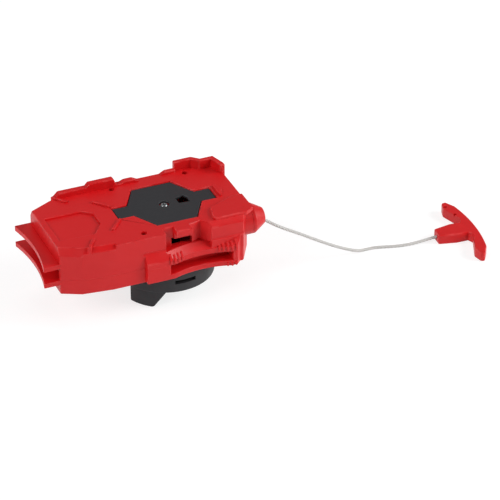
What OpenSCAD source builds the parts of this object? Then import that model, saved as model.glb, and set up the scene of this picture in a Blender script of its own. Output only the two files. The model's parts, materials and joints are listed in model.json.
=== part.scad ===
// String-pull launcher for spinning tops, with its pull string drawn out.
// +X points to the string outlet, +Y to the far side, +Z up.
// The origin lies on the spinner axis, on the surface that the claws stand on.

/* [Case] */
// Height of the flat top above the standing surface
top_h = 41.5; // [40:0.5:45]
// Height of both shells together
case_h = 22.6; // [22.2:0.2:24]
// Wall, floor and ceiling of the shells
wall = 2; // [1.6:0.1:2.4]
// Spinner axis to the rear wall
rear_x = 56; // [55:0.5:62]
// Half width of the rear wall
rear_half = 18.5; // [17:0.5:20]
// Spinner axis to the front wall
front_x = 34; // [33.5:0.5:38]
// Half width between the side walls
side_half = 24.5; // [24:0.1:27]
// Rear wall to where the sides have flared out
flare_len = 8.5; // [6:0.5:12]
// Side walls taper in by this much towards the flare
flare_in = 1.8; // [1:0.1:2.5]
// Width of the slope along the top edges
top_slope_w = 1.6; // [0.8:0.1:2]
// Drop of the slope along the top edges
top_slope_h = 2.2; // [1:0.1:3]

/* [Top cover] */
// Half length of the hexagonal cover across its two tabs
cover_half_len = 23; // [21:0.5:25]
// Half width of the hexagonal cover
cover_half_w = 16.1; // [14.5:0.1:16.5]
// Half width of a cover tab
cover_tab_half = 4.4; // [3.5:0.1:5]
// Thickness of the cover
cover_t = 1.2; // [1:0.1:1.4]
// Radius of the cover's middle hole
cover_hole_r = 2.3; // [2:0.1:2.6]

/* [Ports] */
// Half width of the rear port
rear_port_half = 18.8; // [18.5:0.1:21]
// How far the rear port's lips stand out of the rear wall
rear_lip_len = 7.4; // [6:0.1:10]
// Parting line up to the top of the rear port's upper lip
rear_lip_rise = 7.9; // [7.6:0.1:8.2]
// Thickness of the port lips at the rear
rear_lip_t = 2.3; // [2:0.1:2.6]
// Height of the rear port's slot
rear_slot_h = 5.8; // [5.6:0.1:6.2]
// Rear end of the side ports
side_port_rear = -18.5; // [-19:0.5:-17]
// Front end of the side ports
side_port_front = 27; // [26:0.5:28]
// How far the side ports stand out of the side walls
side_port_out = 2.1; // [1.5:0.1:3]
// Top plane down to the side ports' upper edge
side_port_drop = 8.4; // [7.8:0.1:9]
// Height of the side slots, which reach up to the parting line
side_slot_h = 4.6; // [4.3:0.1:4.8]
// Depth of the side slots
side_slot_depth = 6.4; // [5:0.1:6.6]
// Depth of the far side port's slot, which stops short of a screw
far_slot_depth = 3.6; // [3:0.1:4]
// Underside of the case up to the side slots
side_slot_rise = 2.8; // [2.2:0.1:3]
// Depth of the hollow in the ports' lips
lip_hollow = 2.3; // [1.5:0.1:2.6]

/* [Outlet] */
// Largest radius of the outlet nozzle
nozzle_r = 7; // [6:0.1:7.4]
// Length of the outlet nozzle in front of the case
nozzle_len = 7; // [6.6:0.1:8.4]
// Radius of the nozzle's spigot in the front wall
spigot_r = 3.6; // [3.2:0.1:3.8]
// Radius of the string hole in the nozzle
string_hole_r = 1.3; // [1.1:0.1:1.5]
// Radius of the nozzle's flared mouth
mouth_r = 3.2; // [2.8:0.1:3.4]
// Length of the flared mouth
mouth_len = 10; // [8:0.5:10]

/* [Reel and gears] */
// Tooth module of the gear train
tooth_module = 1; // [0.98:0.01:1.01]
// Teeth of the reel gear
reel_teeth = 28; // [27:1:28]
// Teeth of the idler gear
idler_teeth = 12; // [12:2:14]
// Teeth of the output pinion
pinion_teeth = 12; // [12:2:14]
// Height of the reel gear
reel_gear_h = 5.2; // [4.8:0.1:5.4]
// Height of the idler and the pinion
gear_h = 4.6; // [4:0.1:4.7]
// Radius of the reel's flanges
flange_r = 16; // [15.6:0.1:17]
// Thickness of the reel's lower flange
flange_t = 2; // [1.5:0.1:2.2]
// Thickness of the reel's cap
cap_t = 1.4; // [1:0.1:1.6]
// Radius of the wound string on the reel
winding_r = 13.1; // [12.7:0.1:13.2]
// Wound depth of the string on the reel
winding_depth = 1.5; // [1:0.1:1.8]
// Radius of the spring chamber in the reel
chamber_r = 10.5; // [9.8:0.1:10.7]
// Radius of the reel's axle
axle_r = 1.6; // [1.5:0.1:2]
// Radius of the idler's pin
idler_pin_r = 1.5; // [1.3:0.1:1.7]
// Radius of the output shaft
shaft_r = 2.5; // [2.3:0.1:2.7]
// Outer radius of the shaft bushes
bush_r = 4.5; // [4:0.1:4.8]
// Length of the upper shaft bush
upper_bush_len = 4; // [3:0.1:5]
// Thickness of the return spring's strip
spring_t = 0.25; // [0.2:0.05:0.4]
// Turns of the return spring
spring_turns = 6; // [4:1:7]

/* [Spinner] */
// Radius of the spinner disc
disc_r = 22; // [21:0.5:24]
// Height of the spinner disc
disc_h = 9.9; // [9:0.1:10.5]
// Wall of the spinner disc
disc_wall = 2; // [1.6:0.1:2.4]
// Direction of the rear claw, seen from above
claw_angle = 222; // [200:1:240]
// Width of a claw where it leaves the disc
claw_w = 17.2; // [15:0.2:19]
// Width of a claw at its tip
claw_tip_w = 11.8; // [10:0.2:14]
// Claw's middle line to its straight side
claw_back = 7.6; // [6:0.1:8]
// Thickness of a claw along the radius
claw_t = 6.5; // [5:0.1:8]
// Rounding of a claw's tip on its flared side
claw_corner = 2; // [1:0.1:2.2]
// Rounding of a claw's tip on its straight side
claw_heel = 0.5; // [0.3:0.1:0.8]
// Windows in the disc's rim
window_count = 6; // [4:1:8]
// Length of a rim window
window_len = 9.6; // [7:0.1:11]
// Height of a rim window
window_h = 1.6; // [1.2:0.1:2.6]

/* [Handle and string] */
// Radius of the pull string
string_r = 0.75; // [0.6:0.05:0.8]
// Length of the handle's cross bar
bar_len = 46.4; // [42:0.2:52]
// Depth of the cross bar at its middle
bar_depth = 4.7; // [4:0.1:6]
// How far the wings of the cross bar hook back
bar_hook = 3.2; // [2:0.1:4]
// Bow of the cross bar's front
bar_bow = 2; // [1:0.1:3]
// Height of the handle
handle_h = 5; // [4.6:0.1:7]
// Length of the handle's neck
neck_len = 14.2; // [13:0.1:18]
// Width of the neck at its end
neck_w = 6; // [5:0.1:7]
// Width of the neck where it joins the cross bar
neck_root_w = 9.4; // [8:0.1:11]

/* [Fasteners] */
// Radius of the case screws' shanks
screw_r = 1.4; // [1.2:0.1:1.5]
// Radius of the screw heads
screw_head_r = 2.6; // [2.2:0.1:2.7]
// Height of the screw heads
screw_head_h = 1.9; // [1.6:0.1:2.1]

/* [Clearances] */
// Radial clearance of turning parts
run_gap = 0.05; // [0.02:0.01:0.1]
// End clearance of turning parts
end_gap = 0.3; // [0.2:0.05:0.4]
// Clearance round the top cover
cover_gap = 0.3; // [0.1:0.05:0.3]
// Clearance round screw heads and shanks
screw_gap = 0.2; // [0.1:0.05:0.3]
// Case underside to the spinner disc
disc_gap = 0.6; // [0.5:0.1:0.8]
// Clearance round the string in its bush and in the handle
string_gap = 0.2; // [0.15:0.05:0.3]
// Wound string to the string that leaves it
winding_gap = 0.15; // [0.1:0.05:0.3]
// Return spring's strip to the reel's cap
spring_gap = 2.7; // [1:0.1:4]

/* [Hidden] */

case_red = "#c4262c";
cover_grey = "#3a3a3d";
steel = "#b8bcc0";
bronze = "#b58a4a";
gear_dark = "#2b2b2d";
string_white = "#dcdcda";

$fn = 64;
eps = 0.05;

// Heights of the case
case_bottom = top_h - case_h;
lower_h = side_slot_rise + side_slot_h;
parting_z = case_bottom + lower_h;
floor_z = case_bottom + wall;
ceiling_z = top_h - wall;
boss_h = 0.8;
ceiling_boss_h = 0.6;

// Heights of the reel
reel_z = floor_z + boss_h + end_gap;
flange_z = reel_z + reel_gear_h;
channel_z = flange_z + flange_t;
cap_top = ceiling_z - ceiling_boss_h - end_gap;
cap_z = cap_top - cap_t;
channel_h = cap_z - channel_z;
spring_z = channel_z + end_gap;
spring_top = cap_z - spring_gap;
gear_top = reel_z + gear_h;

// Places of the turning parts
addendum = 0.8;
dedendum = 1.05;
pressure_angle = 25;
tooth_play = 0.16;
function pitch_r(teeth) = tooth_module * teeth / 2;
idler_x = -pitch_r(pinion_teeth) - pitch_r(idler_teeth);
reel_x = idler_x - pitch_r(idler_teeth) - pitch_r(reel_teeth);
core_r = winding_r - winding_depth;
hub_wall = 2.4;
gear_pocket_r = pitch_r(reel_teeth) - 4.5;
blind_h = 0.7;

// Line of the string through the nozzle
outlet_y = -(winding_r + winding_gap + string_r);
outlet_z = channel_z + channel_h / 2;
nozzle_tip = front_x + nozzle_len;
nozzle_taper = 0.5;
spigot_len = 7;
spigot_x = front_x - spigot_len;
mouth_rim = 0.5;

// Plan of the case: each half from the rear wall to its cut front corner
near_cut = [6.4, 11.2];
far_cut = [4, 4];
side_start = 23;
function half_plan(cut) = [
  [-rear_x, rear_half],
  [-rear_x + flare_len, side_half - flare_in],
  [-rear_x + side_start, side_half],
  [front_x - cut[0], side_half],
  [front_x, side_half - cut[1]]
];
function flip_y(points) = [for (i = [len(points) - 1 : -1 : 0]) [points[i][0], -points[i][1]]];
case_plan = concat(flip_y(half_plan(near_cut)), half_plan(far_cut));

// Hollow of the case: wide round the reel, narrow between the side ports
rear_wall = 4;
hollow_narrow = side_half + side_port_out - side_slot_depth - wall;
hollow_step_x = side_port_rear - 3.5;
near_hollow = [
  [-rear_x + rear_wall, rear_half - 6],
  [-rear_x + rear_wall + flare_len, side_half - flare_in - wall - 1],
  [-rear_x + side_start, side_half - wall],
  [hollow_step_x, side_half - wall],
  [hollow_step_x + 2, hollow_narrow],
  [front_x - wall - near_cut[0], hollow_narrow],
  [front_x - wall, side_half - near_cut[1] - wall]
];
hollow_plan = concat(flip_y(near_hollow), near_hollow);

// Screws of the case: place, and whether the top shows their hole
side_screw_y = side_half - 4.6;
rear_screw_x = -rear_x + 7.5;
screw_places = [
  [[side_port_rear + 1.2, side_screw_y], true],
  [[side_port_rear + 1.2, -side_screw_y], true],
  [[18, side_screw_y + 0.6], true],
  [[rear_screw_x, 11], false],
  [[rear_screw_x, -11], false]
];
boss_r = screw_head_r + 1;
counterbore_h = screw_head_h + 1;
screw_len = lower_h + 6;

// Heights of the spinner
disc_top = case_bottom - disc_gap;
disc_bottom = disc_top - disc_h;
disc_plate = 2.5;
carrier_t = 3;
hub_r = 6;
bush_top = ceiling_z - 1.5;
shaft_top = top_h - cover_t - 1;
shaft_bottom = disc_bottom + carrier_t;

// Places of the handle
handle_at = [126.3, -17];
handle_turn = -3;

// Points on the route of the drawn string, from the nozzle to the handle
drop_route = [[31, -14, 33.2], [33, -14, 33.1], [35, -14, 32.8], [37, -14, 32.4], [39, -14, 31.8],
  [41, -14, 31], [43, -14, 29.7], [46, -14.2, 27.5], [50, -14.3, 24.7], [55, -14.3, 21.6],
  [60, -14.2, 18.5], [66, -14, 14.6], [73, -13.6, 10.1], [80, -13.1, 5.9], [86, -12.6, 2.8]];
lay_route = [[86, -12.6, 2.8], [90, -12, 1.2], [94, -11.7, 0.8], [98, -11.9, 0.8], [103, -13.3, 0.8],
  [109, -14.9, 0.8], [115, -15.9, 1.1], [120, -16.4, 1.7], [124, -16.8, 2.3], [126.5, -17, 2.5],
  [130.2, -17.2, 2.5]];
meeting = unit(lay_route[1] - drop_route[len(drop_route) - 2]);
string_sides = 8;
route_steps = 2;

function involute(angle) = tan(angle) * 180 / PI - angle;
function flank(teeth, r) =
  let (rp = pitch_r(teeth), rb = rp * cos(pressure_angle), a = r > rb ? acos(rb / r) : 0)
  90 / teeth - tooth_play / rp * 90 / PI + involute(pressure_angle) - involute(a);
function polar(r, a) = [r * cos(a), r * sin(a)];

// Outline of a gear, with a tooth on its +X side
flank_steps = 4;
function gear_points(teeth) =
  let (root = pitch_r(teeth) - dedendum * tooth_module,
       base = max(root + 0.05, pitch_r(teeth) * cos(pressure_angle)),
       tip = pitch_r(teeth) + addendum * tooth_module,
       radii = concat([root], [for (i = [0 : flank_steps]) base + (tip - base) * i / flank_steps]),
       last = len(radii) - 1)
  [for (tooth = [0 : teeth - 1], side = [-1, 1], i = [0 : last])
    let (r = side < 0 ? radii[i] : radii[last - i])
    polar(r, tooth * 360 / teeth + side * flank(teeth, r))];

// Flat spiral of the return spring, as a closed outline
spring_in = axle_r + 0.2 + spring_t / 2;
spring_out = chamber_r - 0.5 - spring_t / 2;
spiral_steps = 24;
function spiral(offset) = [for (i = [0 : spring_turns * spiral_steps])
  polar(spring_in + (spring_out - spring_in) * i / (spring_turns * spiral_steps) + offset,
        i * 360 / spiral_steps)];
function reversed(list) = [for (i = [len(list) - 1 : -1 : 0]) list[i]];

// A smooth route through the points, and a tube swept along it
function unit(v) = v / norm(v);
function end_point(p, q) = 2 * p - q;
function smooth_at(a, b, c, d, t) =
  0.5 * ((2 * b) + (c - a) * t + (2 * a - 5 * b + 4 * c - d) * t * t
  + (3 * b - a - 3 * c + d) * t * t * t);
function smooth(p) =
  let (n = len(p), q = concat([end_point(p[0], p[1])], p, [end_point(p[n - 1], p[n - 2])]))
  concat([for (i = [0 : n - 2], k = [0 : route_steps - 1])
    smooth_at(q[i], q[i + 1], q[i + 2], q[i + 3], k / route_steps)], [p[n - 1]]);
function tangent(p, i) = unit(p[min(i + 1, len(p) - 1)] - p[max(i - 1, 0)]);
function ring(centre, along, r) =
  let (across = unit(cross(along, [0, 1, 0])), up = cross(across, along))
  [for (k = [0 : string_sides - 1])
    centre + r * (cos(k * 360 / string_sides) * across + sin(k * 360 / string_sides) * up)];

module tube(route, first, last, r) {
  n = len(route);
  m = string_sides;
  points = [for (i = [0 : n - 1])
    each ring(route[i], i == 0 ? first : i == n - 1 ? last : tangent(route, i), r)];
  sides = [for (i = [0 : n - 2], k = [0 : m - 1]) let (a = i * m + k, b = i * m + (k + 1) % m)
    each [[a, b, b + m], [a, b + m, a + m]]];
  caps = [for (k = [1 : m - 2]) each [[0, k + 1, k], [(n - 1) * m, (n - 1) * m + k, (n - 1) * m + k + 1]]];
  polyhedron(points, concat(sides, caps), convexity = 6);
}

// Shapes that the pieces share
module block(from, to) {
  translate(from) cube(to - from);
}

module slab(points, z0, z1) {
  translate([0, 0, z0]) linear_extrude(z1 - z0) polygon(points);
}

module rod(at, r, z0, z1) {
  translate([at[0], at[1], z0]) cylinder(h = z1 - z0, r = r);
}

module sleeve(at, r_out, r_in, z0, z1) {
  difference() {
    rod(at, r_out, z0, z1);
    rod(at, r_in, z0 - eps, z1 + eps);
  }
}

// A bar along Y with its outline in the XZ plane
module profile_y(points, y0, y1) {
  translate([0, y1, 0]) rotate([90, 0, 0]) linear_extrude(y1 - y0) polygon(points);
}

// A bar along X with its outline in the YZ plane
module profile_x(points, x0, x1) {
  translate([x0, 0, 0]) rotate([90, 0, 90]) linear_extrude(x1 - x0) polygon(points);
}

// The wedge taken off along a top edge from p to q
module edge_slope(p, q, w, h) {
  run = q - p;
  translate([p[0], p[1], top_h])
    rotate([0, 0, atan2(run[1], run[0])])
      rotate([90, 0, 90])
        translate([0, 0, -1])
          linear_extrude(norm(run) + 2) polygon([[1, 1], [-w, 1], [-w, 0], [0, -h], [1, -h]]);
}

// Side port, drawn on the near side
port_y = -side_half - side_port_out;
slot_z0 = case_bottom + side_slot_rise;
slot_x0 = side_port_rear + 11;
slot_x1 = side_port_front - 5;
port_top = top_h - side_port_drop;
lip_slope = 2.4;
lip_top = port_top - 4.2;

// The hollow in the edges of the lips, as part of a wide circle
scoop_x = (slot_x0 + slot_x1 + 1) / 2;
scoop_half = (slot_x1 - slot_x0 - 3) / 2;
scoop_r = (scoop_half * scoop_half + lip_hollow * lip_hollow) / (2 * lip_hollow);
scoop_y = port_y + lip_hollow - scoop_r;
function lip_y(x) = abs(x - scoop_x) > scoop_half ? port_y :
  scoop_y + sqrt(scoop_r * scoop_r - (x - scoop_x) * (x - scoop_x));

// Height of the upper lip's sloped top
function lip_z(x, y) = lip_top + max(0, min((y - port_y) * (port_top - lip_top) / lip_slope,
  norm([x - scoop_x, y - scoop_y]) - scoop_r));

// The slope that follows the hollow
module lip_cone() {
  rise = port_top + 1 - lip_top;
  translate([scoop_x, scoop_y, lip_top]) cylinder(h = rise, r1 = scoop_r, r2 = scoop_r + rise, $fn = 96);
}

module side_port_block(z0, z1) {
  slab([[side_port_rear, -side_half + 2], [side_port_rear, port_y], [side_port_front - 3, port_y],
    [side_port_front, port_y + 3], [side_port_front, -side_half + 2]], z0, z1);
}

module side_port_cuts(depth) {
  profile_x([[port_y - 1, lip_top], [port_y, lip_top], [port_y + lip_slope, port_top],
    [port_y + lip_slope, port_top + 1], [port_y - 1, port_top + 1]], side_port_rear - 1, side_port_front + 1);
  block([slot_x0, port_y - 2, slot_z0], [slot_x1, port_y + depth, slot_z0 + side_slot_h]);
  rod([scoop_x, scoop_y], scoop_r, case_bottom - 1, port_top + 1);
}

module near_lip_slope() {
  intersection() {
    lip_cone();
    block([side_port_rear, port_y - 1, lip_top], [side_port_front, -side_half, port_top + 1]);
  }
}

// Grip ribs on the edge of a near lip and on the slope above it, from x0 between two heights
rib_pitch = 1.9;
rib_w = 0.9;
rib_out = 0.5;
rib_root = 1.5;
module lip_ribs(x0, count, z0, z1) {
  for (i = [0 : count - 1]) {
    x = x0 + i * rib_pitch;
    y = lip_y(x + rib_w / 2);
    end_y = y + rib_root;
    end_z = min(z1, lip_z(x + rib_w / 2, end_y) + rib_out);
    profile_x([[y - rib_out, z0], [y - rib_out, min(z1 - 0.3, lip_top)], [end_y, end_z],
      [end_y + 0.4, end_z - 1], [end_y, z0]], x, x + rib_w);
  }
}

// Both sides of the case get the same shape
module both_sides() {
  children();
  mirror([0, 1, 0]) children();
}

// Rear port lip between two heights
module rear_lip(z0, z1) {
  tip = -rear_x - rear_lip_len;
  half = rear_port_half;
  r = (half * half + lip_hollow * lip_hollow) / (2 * lip_hollow);
  difference() {
    slab([[-rear_x + 1, -rear_half], [-rear_x + 1, rear_half], [-rear_x, rear_half + 0.3],
      [tip, half], [tip, -half], [-rear_x, -rear_half - 0.3]], z0, z1);
    rod([tip + lip_hollow - r, 0], r, z0 - 1, z1 + 1);
  }
}

rear_slot_top = parting_z + rear_lip_rise - rear_lip_t;
rear_slot_z = rear_slot_top - rear_slot_h;
rear_slot_in = 2;

// The hexagonal cover's outline, grown by a clearance
hex_corner_x = 9.1;
hex_root_x = 15.8;
function cover_plan(grow) =
  let (cx = hex_corner_x + grow / 2, cy = cover_half_w + grow, rx = hex_root_x + grow / 2,
       ty = cover_tab_half + grow, tx = cover_half_len + grow)
  [[tx, ty], [rx, ty], [cx, cy], [-cx, cy], [-rx, ty], [-tx, ty],
   [-tx, -ty], [-rx, -ty], [-cx, -cy], [cx, -cy], [rx, -ty], [tx, -ty]];
cover_sink = 0.35;
cover_top = top_h - cover_sink;
cover_bottom = cover_top - cover_t;
seat_t = 1.7;
seat_z = cover_bottom - seat_t;
bush_boss_r = bush_r + wall;

// Recess behind the near port, with its two notches and the tab between them
recess_drop = 9.5;
recess_x0 = -8.7;
recess_x1 = 12.5;
recess_y = -side_half + 4.6;
tab_half = 3.8;
tab_t = 3;
module near_recess() {
  z0 = top_h - recess_drop;
  slab([[recess_x0, recess_y], [-tab_half, recess_y], [-tab_half, port_y - 1], [recess_x0, port_y - 1]],
    z0, top_h + 1);
  slab([[tab_half, recess_y - 1.2], [9, recess_y + 0.4], [recess_x1, recess_y - 4],
    [recess_x1, port_y - 1], [tab_half, port_y - 1]], z0, top_h + 1);
  slab([[-tab_half - eps, recess_y - 1], [tab_half + eps, recess_y - 1],
    [tab_half + eps, port_y - 1], [-tab_half - eps, port_y - 1]], z0, top_h - tab_t);
  block([-4.4, recess_y - 3, z0], [4.6, recess_y + side_half - hollow_narrow + 1, z0 + 3.4]);
  intersection() {
    lip_cone();
    block([recess_x0, port_y - 1, lip_top], [recess_x1, recess_y - 1, z0 + eps]);
  }
}

// Raised rail along the far rear edge, and the raised corner at the far front
rail_x = -rear_x + 12.5;
module far_rail() {
  profile_y([[rail_x, top_h - 4], [rail_x, top_h], [rail_x + 2.5, top_h + 2.4], [rail_x + 15.1, top_h + 2.4],
    [rail_x + 16.5, top_h + 4], [rail_x + 28.1, top_h + 4], [rail_x + 29.5, top_h + 0.6],
    [rail_x + 31.5, top_h + 0.6], [rail_x + 33.5, top_h + 1.4], [rail_x + 37.5, top_h + 1.4],
    [rail_x + 40.1, top_h], [rail_x + 40.1, top_h - 4]], side_half - flare_in - 1.4, side_half);
  profile_y([[7, top_h - 4], [7, top_h], [9.6, top_h + 1.4], [14.4, top_h + 1.4], [14.4, top_h - 4]],
    side_half - 2.4, side_half);
}

module far_corner() {
  slab([[14.2, 26], [14.2, 23.6], [22.2, 23.6], [25.2, 20.6], [30.7, 20.6], [32.6, 13.6], [34.8, 13.6],
    [34.8, 15.4], [32.6, 22.9], [26.4, 22.9], [23.2, 26]], top_h - 7, top_h + 4.3);
}

// Sunk panel on the rear of the top
panel_sink = 1;
module rear_panel() {
  slab([[-rear_x + 3, 8], [-rear_x + 20, 7.6], [-rear_x + 24.2, 3.6], [-rear_x + 24.2, -5],
    [-rear_x + 19, -12], [-rear_x + 3, -11.4]], top_h - panel_sink, top_h + 1);
}

// Low ribs and panels moulded on the top
relief_h = 0.8;
block_h = 1.2;
block_y = -side_half + 1.9;
module top_relief() {
  both_sides() {
    translate([-cover_half_len, 0, 0])
      slab([[-6.6, 12.4], [-0.4, 5.2], [0.8, 6], [-5.4, 13.2]], top_h - 1, top_h + relief_h);
    translate([-rear_x, side_half, 0])
      slab([[11.4, -1.5], [16, -7.9], [17.6, -7.9], [13, -1.1]], top_h - 3, top_h + relief_h);
  }
  translate([cover_half_len, 0, 0])
    slab([[1.6, -4.6], [3, -4.6], [4.4, 0], [3, 4.6], [1.6, 4.6]], top_h - 1, top_h + relief_h);
  slab([[14.6, block_y + 2.2], [16.4, -13.2], [29, -7.6], [front_x, -7.6], [front_x, block_y + 2.6],
    [front_x - 4, block_y], [15.4, block_y]], top_h - 1, top_h + block_h);
}

// Thicker ceiling under the cover, clear of the reel
module cover_seat() {
  difference() {
    slab(cover_plan(wall), seat_z, ceiling_z + 1);
    rod([reel_x, 0], flange_r + 2 * end_gap, seat_z - 1, ceiling_z);
  }
}

// Round boss of the front wall that the nozzle stands on
module nozzle_boss() {
  intersection() {
    translate([front_x - near_cut[0] - 1, outlet_y, outlet_z]) rotate([0, 90, 0])
      cylinder(h = near_cut[0] + 1, r = nozzle_r);
    block([front_x - near_cut[0] - 1, -side_half, parting_z], [front_x, 0, top_h]);
  }
}

module upper_shell() {
  difference() {
    union() {
      difference() {
        union() {
          slab(case_plan, parting_z, top_h);
          both_sides() side_port_block(parting_z, port_top);
        }
        slab(hollow_plan, parting_z - 1, ceiling_z);
        both_sides() {
          edge_slope(half_plan(far_cut)[0], half_plan(far_cut)[1], top_slope_w + 0.4, top_slope_h + 1.1);
          edge_slope(half_plan(far_cut)[1], half_plan(far_cut)[2], top_slope_w, top_slope_h);
        }
        edge_slope([front_x - near_cut[0], -side_half], [13, -side_half], top_slope_w, top_slope_h);
      }
      top_relief();
      far_rail();
      far_corner();
      rear_lip(rear_slot_top, rear_slot_top + rear_lip_t);
      for (place = screw_places) rod(place[0], boss_r, parting_z, ceiling_z + 1);
      rod([reel_x, 0], axle_r + wall, ceiling_z - ceiling_boss_h, ceiling_z + 1);
      rod([idler_x, 0], idler_pin_r + 1.6, gear_top + end_gap + 0.3, ceiling_z + 1);
      rod([0, 0], bush_boss_r, bush_top - upper_bush_len, ceiling_z + 1);
      cover_seat();
      nozzle_boss();
    }
    slab(cover_plan(cover_gap), cover_bottom, top_h + 5);
    rear_panel();
    rod([0, 0], bush_r, bush_top - upper_bush_len - 1, bush_top);
    rod([0, 0], shaft_r + 0.7, bush_top - 1, top_h);
    block([6, -4.2, seat_z - 1], [13, 6.2, cover_bottom + eps]);
    rod([reel_x, 0], axle_r, parting_z, ceiling_z + blind_h);
    rod([idler_x, 0], idler_pin_r, parting_z, gear_top + end_gap + 5);
    side_port_cuts(side_slot_depth);
    mirror([0, 1, 0]) side_port_cuts(far_slot_depth);
    near_lip_slope();
    near_recess();
    for (place = screw_places) {
      rod(place[0], screw_r, parting_z - 1, case_bottom + counterbore_h + screw_len - screw_head_h);
      if (place[1]) rod(place[0], screw_r, parting_z, top_h + 5);
    }
    block([-rear_x - 1, -rear_half + 2, rear_slot_z],
      [-rear_x + rear_slot_in, rear_half - 2, rear_slot_top]);
    translate([spigot_x - 4, outlet_y, outlet_z]) rotate([0, 90, 0])
      cylinder(h = front_x - spigot_x + 8, r = spigot_r + screw_gap);
  }
}

module upper_case() {
  color(case_red) {
    upper_shell();
    lip_ribs(slot_x0 - 0.4, 4, parting_z + 0.6, top_h - recess_drop);
    lip_ribs(slot_x1 - 6.6, 5, parting_z + 0.6, port_top);
  }
}

module lower_shell() {
  difference() {
    union() {
      difference() {
        union() {
          slab(case_plan, case_bottom, parting_z);
          both_sides() side_port_block(case_bottom, parting_z);
        }
        slab(hollow_plan, floor_z, parting_z + 1);
      }
      rear_lip(rear_slot_z - rear_lip_t, rear_slot_z);
      for (place = screw_places) rod(place[0], boss_r, floor_z - 1, parting_z);
      rod([reel_x, 0], axle_r + wall, floor_z - 1, floor_z + boss_h);
      rod([idler_x, 0], idler_pin_r + wall, floor_z - 1, floor_z + boss_h);
      rod([0, 0], bush_boss_r, floor_z - 1, floor_z + boss_h);
    }
    side_port_cuts(side_slot_depth);
    mirror([0, 1, 0]) side_port_cuts(far_slot_depth);
    block([-rear_x - 1, -rear_half + 2, rear_slot_z],
      [-rear_x + rear_slot_in, rear_half - 2, rear_slot_top]);
    rod([reel_x, 0], axle_r, floor_z - blind_h, parting_z);
    rod([idler_x, 0], idler_pin_r, floor_z - blind_h, parting_z);
    rod([0, 0], bush_r, case_bottom - 1, parting_z);
    for (place = screw_places) {
      rod(place[0], screw_r + screw_gap, case_bottom - 1, parting_z + 1);
      rod(place[0], screw_head_r + screw_gap, case_bottom - 1, case_bottom + counterbore_h);
    }
  }
}

module lower_case() {
  color(case_red) {
    lower_shell();
    lip_ribs(slot_x1 - 3, 3, case_bottom, slot_z0 - 0.6);
  }
}

module top_cover() {
  color(cover_grey) difference() {
    slab(cover_plan(0), cover_bottom, cover_top);
    rod([0, 0], cover_hole_r, cover_bottom - 1, top_h);
    slab([[6.4, 2.3], [10.4, 3.6], [11.4, 1.6], [11.1, -2.4], [6.4, -1.9]], cover_bottom - 1, top_h);
  }
}

module outlet_nozzle() {
  flare = nozzle_tip - spigot_x;
  color(case_red) translate([spigot_x, outlet_y, outlet_z]) rotate([0, 90, 0]) rotate_extrude() polygon([
    [string_hole_r, 0], [spigot_r, 0], [spigot_r, spigot_len], [nozzle_r, spigot_len],
    [nozzle_r, spigot_len + 1.6], [nozzle_r - 1.1, spigot_len + nozzle_len * nozzle_taper],
    [mouth_r + mouth_rim, flare], [mouth_r, flare], [string_hole_r, flare - mouth_len]]);
}

module string_bush() {
  color(steel) translate([spigot_x, outlet_y, outlet_z]) rotate([0, 90, 0]) rotate_extrude() polygon([
    [string_r + string_gap, -1], [spigot_r - 0.6, -1], [spigot_r - 0.6, 0], [string_hole_r, 0],
    [string_hole_r, 3], [string_r + string_gap, 3]]);
}

module case_screws() {
  head_z = case_bottom + counterbore_h - screw_head_h;
  color(steel) for (place = screw_places) difference() {
    union() {
      rod(place[0], screw_head_r, head_z, head_z + screw_head_h);
      rod(place[0], screw_r, head_z + screw_head_h - eps, head_z + screw_len);
    }
    for (turn = [0, 90]) translate([place[0][0], place[0][1], head_z]) rotate([0, 0, turn])
      cube([screw_head_r * 1.2, 0.6, 1.6], center = true);
  }
}

module reel_axle() {
  color(steel) rod([reel_x, 0], axle_r, floor_z - blind_h, ceiling_z + blind_h);
}

module string_reel() {
  color(gear_dark) difference() {
    union() {
      translate([reel_x, 0, 0]) slab(gear_points(reel_teeth), reel_z, flange_z);
      rod([reel_x, 0], flange_r, flange_z, channel_z);
      rod([reel_x, 0], core_r, flange_z, cap_z);
    }
    rod([reel_x, 0], chamber_r, channel_z, cap_z + 1);
    sleeve([reel_x, 0], gear_pocket_r, hub_wall + axle_r, reel_z - 1, flange_z);
    rod([reel_x, 0], axle_r + run_gap, reel_z - 1, cap_z + 1);
  }
}

module reel_cap() {
  color(gear_dark) sleeve([reel_x, 0], flange_r, axle_r + run_gap, cap_z, cap_top);
}

module string_winding() {
  color(string_white) sleeve([reel_x, 0], winding_r, core_r, channel_z, cap_z);
}

module return_spring() {
  color(steel) translate([reel_x, 0, 0])
    slab(concat(spiral(-spring_t / 2), reversed(spiral(spring_t / 2))),
      spring_z, spring_top);
}

module inner_string() {
  color(string_white) translate([reel_x, outlet_y, outlet_z]) rotate([0, 90, 0])
    cylinder(h = nozzle_tip - mouth_len - reel_x, r = string_r, $fn = 24);
}

module idler_pin() {
  color(steel) rod([idler_x, 0], idler_pin_r, floor_z - blind_h, gear_top + end_gap + 4);
}

module idler_gear() {
  color(gear_dark) translate([idler_x, 0, 0]) difference() {
    rotate([0, 0, 180 / idler_teeth]) slab(gear_points(idler_teeth), reel_z, gear_top);
    rod([0, 0], idler_pin_r + run_gap, reel_z - 1, gear_top + 1);
  }
}

module upper_bush() {
  color(bronze) sleeve([0, 0], bush_r, shaft_r + run_gap, bush_top - upper_bush_len, bush_top);
}

module lower_bush() {
  color(bronze) sleeve([0, 0], bush_r, shaft_r + run_gap, case_bottom, floor_z + boss_h);
}

shaft_screw_r = 1;
module output_shaft() {
  color(steel) difference() {
    rod([0, 0], shaft_r, shaft_bottom, shaft_top);
    rod([0, 0], shaft_screw_r, shaft_top - 4, shaft_top + 1);
    rod([0, 0], screw_r, shaft_bottom - 1, shaft_bottom + 6);
  }
}

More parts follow.
